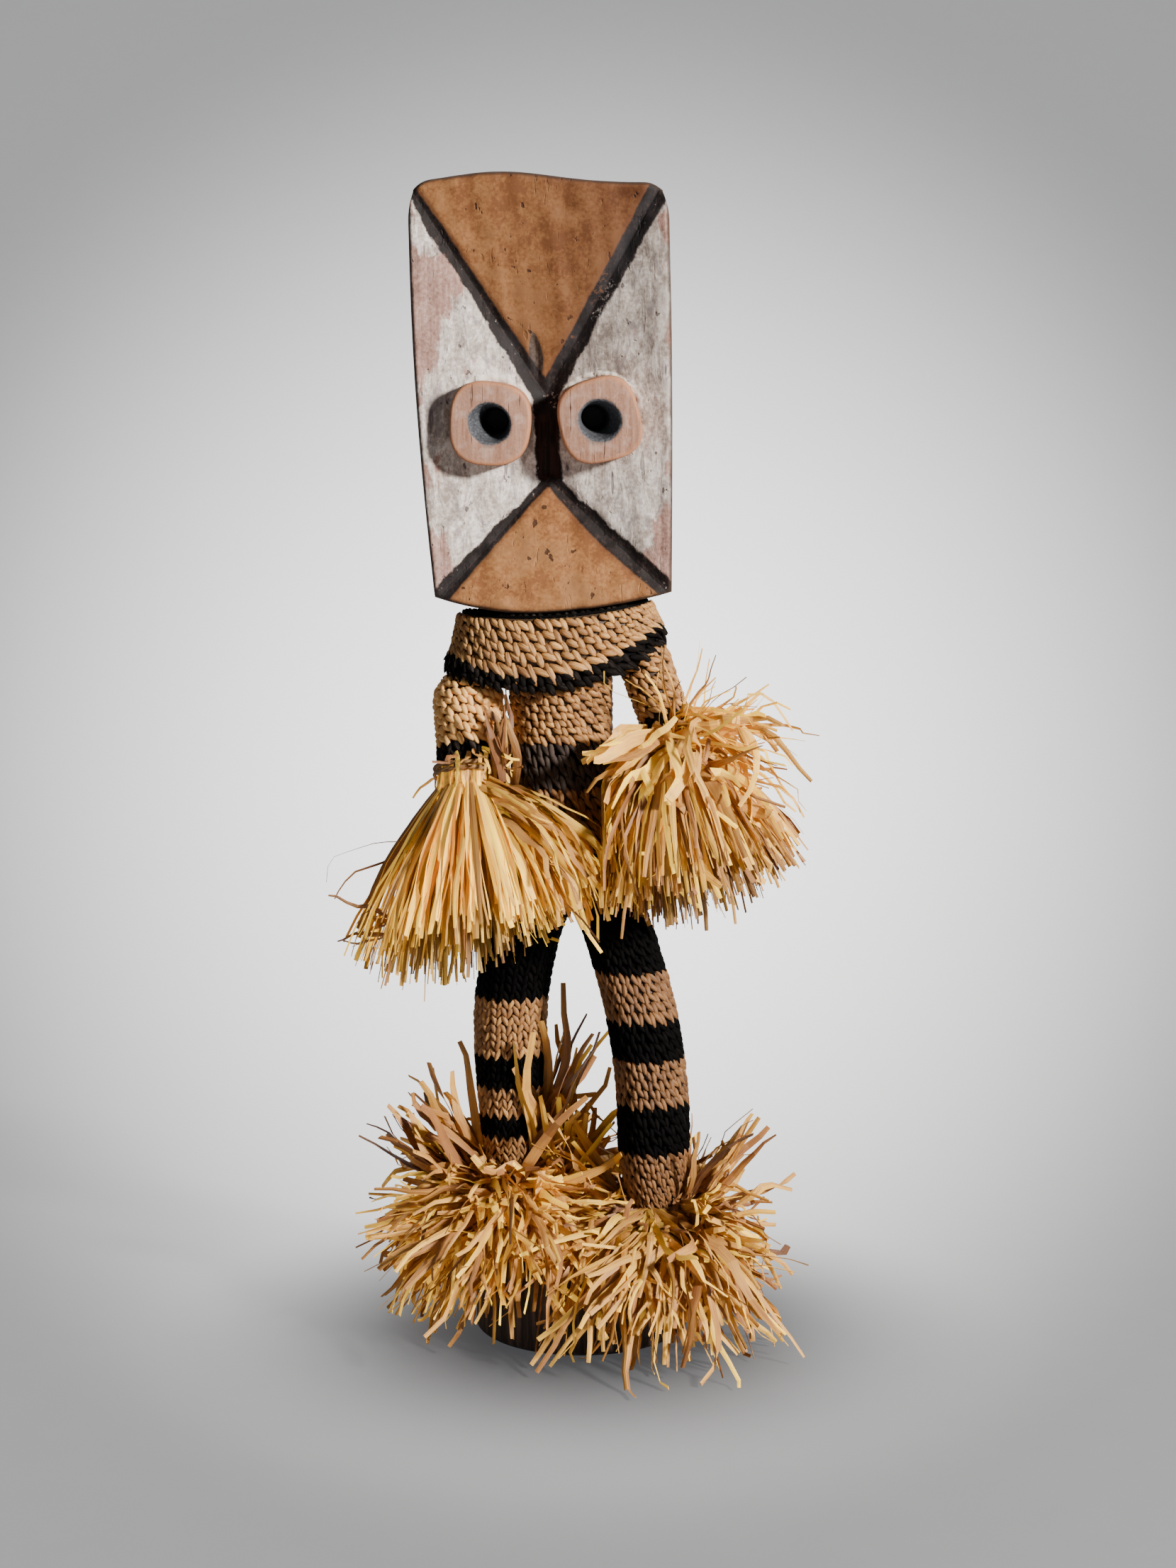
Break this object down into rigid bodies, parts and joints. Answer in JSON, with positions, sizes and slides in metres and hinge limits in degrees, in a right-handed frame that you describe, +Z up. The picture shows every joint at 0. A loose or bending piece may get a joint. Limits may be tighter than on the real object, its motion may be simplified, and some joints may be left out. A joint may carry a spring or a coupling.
{
  "type": "carved_masked_dancer_figure",
  "caption": "Standing masked dancer figure: carved painted block face with tube eyes, striped crocheted raffia suit, raffia wrist skirts and ankle ruffs, round dark wood base.",
  "frame": {"origin": "centre of the underside of the round base, on the ground", "axes": "+Z up, the figure faces -Y, its left hand is on +X"},
  "size_m": [0.2226, 0.208, 0.5416],
  "materials": {
    "dark_base_wood": "dark stained, rubbed",
    "inner_wood": "bare, tool cut",
    "face_wood": "ochre, chalk white and black paint, worn",
    "eye_wood": "bare, tool cut",
    "natural_cord": "crocheted raffia cord",
    "black_cord": "crocheted dyed raffia cord",
    "raffia": "dry raffia leaf",
    "tie_cord": "twisted raffia",
    "fibre_stuffing": "loose fibre"
  },
  "bodies": {
    "figure": {"base_block": "dark_base_wood", "torso_core": "inner_wood", "neck_peg": "inner_wood", "hip_black": "black_cord", "hip_natural": "natural_cord", "waist_black": "black_cord", "chest_natural": "natural_cord", "yoke_black": "black_cord", "yoke_natural": "natural_cord", "collar_round": "black_cord", "right_legging_1_black": "black_cord", "right_legging_2_natural": "natural_cord", "right_legging_3_black": "black_cord", "right_legging_4_natural": "natural_cord", "right_legging_5_black": "black_cord", "right_legging_6_natural": "natural_cord", "right_leg_post": "inner_wood", "right_ankle_cord": "tie_cord", "right_ankle_ruff": "raffia", "left_legging_1_black": "black_cord", "left_legging_2_natural": "natural_cord", "left_legging_3_black": "black_cord", "left_legging_4_natural": "natural_cord", "left_legging_5_black": "black_cord", "left_legging_6_natural": "natural_cord", "left_leg_post": "inner_wood", "left_ankle_cord": "tie_cord", "left_ankle_ruff": "raffia"},
    "head": {"head_block": "face_wood", "right_eye_tube": "eye_wood", "left_eye_tube": "eye_wood"},
    "right_arm": {"right_arm_stuffing": "fibre_stuffing", "right_sleeve_natural": "natural_cord", "right_sleeve_black": "black_cord", "right_wrist_cord": "tie_cord", "right_wrist_skirt": "raffia"},
    "left_arm": {"left_arm_stuffing": "fibre_stuffing", "left_sleeve_natural": "natural_cord", "left_sleeve_black": "black_cord", "left_wrist_cord": "tie_cord", "left_wrist_skirt": "raffia"}
  },
  "joints": [
    {"name": "neck_turn", "type": "hinge", "parent": "figure", "child": "head", "pos_m": [-0.0124, 0, 0.347], "axis": [-0.0366, 0, 0.9993], "range_deg": [-60, 60]},
    {"name": "right_shoulder", "type": "hinge", "parent": "figure", "child": "right_arm", "pos_m": [-0.0525, -0.002, 0.3], "axis": [0, 1, 0], "range_deg": [0, 50]},
    {"name": "left_shoulder", "type": "hinge", "parent": "figure", "child": "left_arm", "pos_m": [0.0295, -0.002, 0.319], "axis": [0, -1, 0], "range_deg": [0, 20]}
  ]
}
